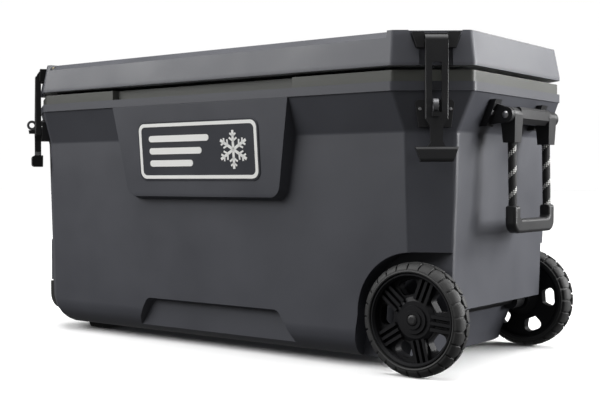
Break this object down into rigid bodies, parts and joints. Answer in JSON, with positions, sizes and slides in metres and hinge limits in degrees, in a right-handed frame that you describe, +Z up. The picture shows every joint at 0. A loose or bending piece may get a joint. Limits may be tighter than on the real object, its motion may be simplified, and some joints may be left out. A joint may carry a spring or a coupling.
{
  "type": "wheeled hard cooler",
  "caption": "Large insulated hard cooler with hinged lid, corner latches, rope end handles and wheels at one end.",
  "frame": {"origin": "on the ground under the middle of the cooler's bounding box", "axes": "+X along the length towards the wheels, -Y towards the front with the badge and latches, +Z up"},
  "size_m": [0.97, 0.4222, 0.48],
  "materials": {
    "body_plastic": "fine moulded grain, satin",
    "lid_plastic": "fine moulded grain, satin",
    "collar_plastic": "fine moulded grain",
    "tub_plastic": "smooth",
    "foam": "rigid insulating foam",
    "black_plastic": "moulded, satin",
    "badge": "satin plate with a white border",
    "steel": "zinc plated",
    "rubber": "matt",
    "wheel_plastic": "moulded, satin",
    "tread": "hard moulded tread",
    "rope": "braided cord with white flecks",
    "eye": "satin"
  },
  "bodies": {
    "cooler": {"body_shell": "body_plastic", "body_foam": "foam", "inner_tub": "tub_plastic", "tub_floor": "tub_plastic", "collar_frame": "collar_plastic", "badge_plate": "badge", "corner_bumpers": "rubber", "ground_feet": "rubber", "axle": "steel", "axle_supports": "black_plastic", "axle_caps": "steel", "drain_fitting": "black_plastic", "hinge_base_left": "black_plastic", "hinge_pin_left": "steel", "latch_keeper_left": "black_plastic", "keeper_screws_left": "steel", "handle_bracket_left": "black_plastic", "handle_pin_left": "steel", "handle_screws_left": "steel", "hinge_base_right": "black_plastic", "hinge_pin_right": "steel", "latch_keeper_right": "black_plastic", "keeper_screws_right": "steel", "handle_bracket_right": "black_plastic", "handle_pin_right": "steel", "handle_screws_right": "steel"},
    "lid": {"lid_shell": "lid_plastic", "lid_liner": "tub_plastic", "lid_foam": "foam", "lid_gasket": "rubber", "hinge_arm_left": "black_plastic", "latch_mount_left": "black_plastic", "latch_pin_left": "steel", "hinge_arm_right": "black_plastic", "latch_mount_right": "black_plastic", "latch_pin_right": "steel"},
    "latch_left": {"latch_strap_left": "black_plastic", "latch_eye_left": "eye"},
    "handle_left": {"handle_yoke_left": "black_plastic", "handle_ropes_left": "rope", "handle_grip_left": "black_plastic"},
    "latch_right": {"latch_strap_right": "black_plastic", "latch_eye_right": "eye"},
    "handle_right": {"handle_yoke_right": "black_plastic", "handle_ropes_right": "rope", "handle_grip_right": "black_plastic"},
    "wheel_front": {"wheel_rim_front": "wheel_plastic", "wheel_tyre_front": "tread"},
    "wheel_rear": {"wheel_rim_rear": "wheel_plastic", "wheel_tyre_rear": "tread"},
    "drain_cap": {"drain_cap": "black_plastic"}
  },
  "joints": [
    {"name": "lid_hinge", "type": "hinge", "parent": "cooler", "child": "lid", "pos_m": [0, 0.2045, 0.418], "axis": [-1, 0, 0], "range_deg": [0, 100]},
    {"name": "latch_pivot_left", "type": "hinge", "parent": "lid", "child": "latch_left", "pos_m": [-0.41732, -0.17555, 0.464], "axis": [-0.8072, 0.5902, 0], "range_deg": [0, 150]},
    {"name": "latch_pivot_right", "type": "hinge", "parent": "lid", "child": "latch_right", "pos_m": [0.41732, -0.17555, 0.464], "axis": [-0.8072, -0.5902, 0], "range_deg": [0, 150]},
    {"name": "handle_pivot_left", "type": "hinge", "parent": "cooler", "child": "handle_left", "pos_m": [-0.4735, 0, 0.366], "axis": [0, 1, 0], "range_deg": [-8, 160]},
    {"name": "handle_pivot_right", "type": "hinge", "parent": "cooler", "child": "handle_right", "pos_m": [0.4735, 0, 0.366], "axis": [0, -1, 0], "range_deg": [-8, 160]},
    {"name": "wheel_spin_front", "type": "hinge", "parent": "cooler", "child": "wheel_front", "pos_m": [0.387, -0.177, 0.08], "axis": [0, 1, 0], "continuous": true},
    {"name": "wheel_spin_rear", "type": "hinge", "parent": "cooler", "child": "wheel_rear", "pos_m": [0.387, 0.177, 0.08], "axis": [0, 1, 0], "continuous": true},
    {"name": "drain_cap_turn", "type": "hinge", "parent": "cooler", "child": "drain_cap", "pos_m": [-0.436, 0, 0.084], "axis": [-1, 0, 0], "range_deg": [0, 720]}
  ]
}
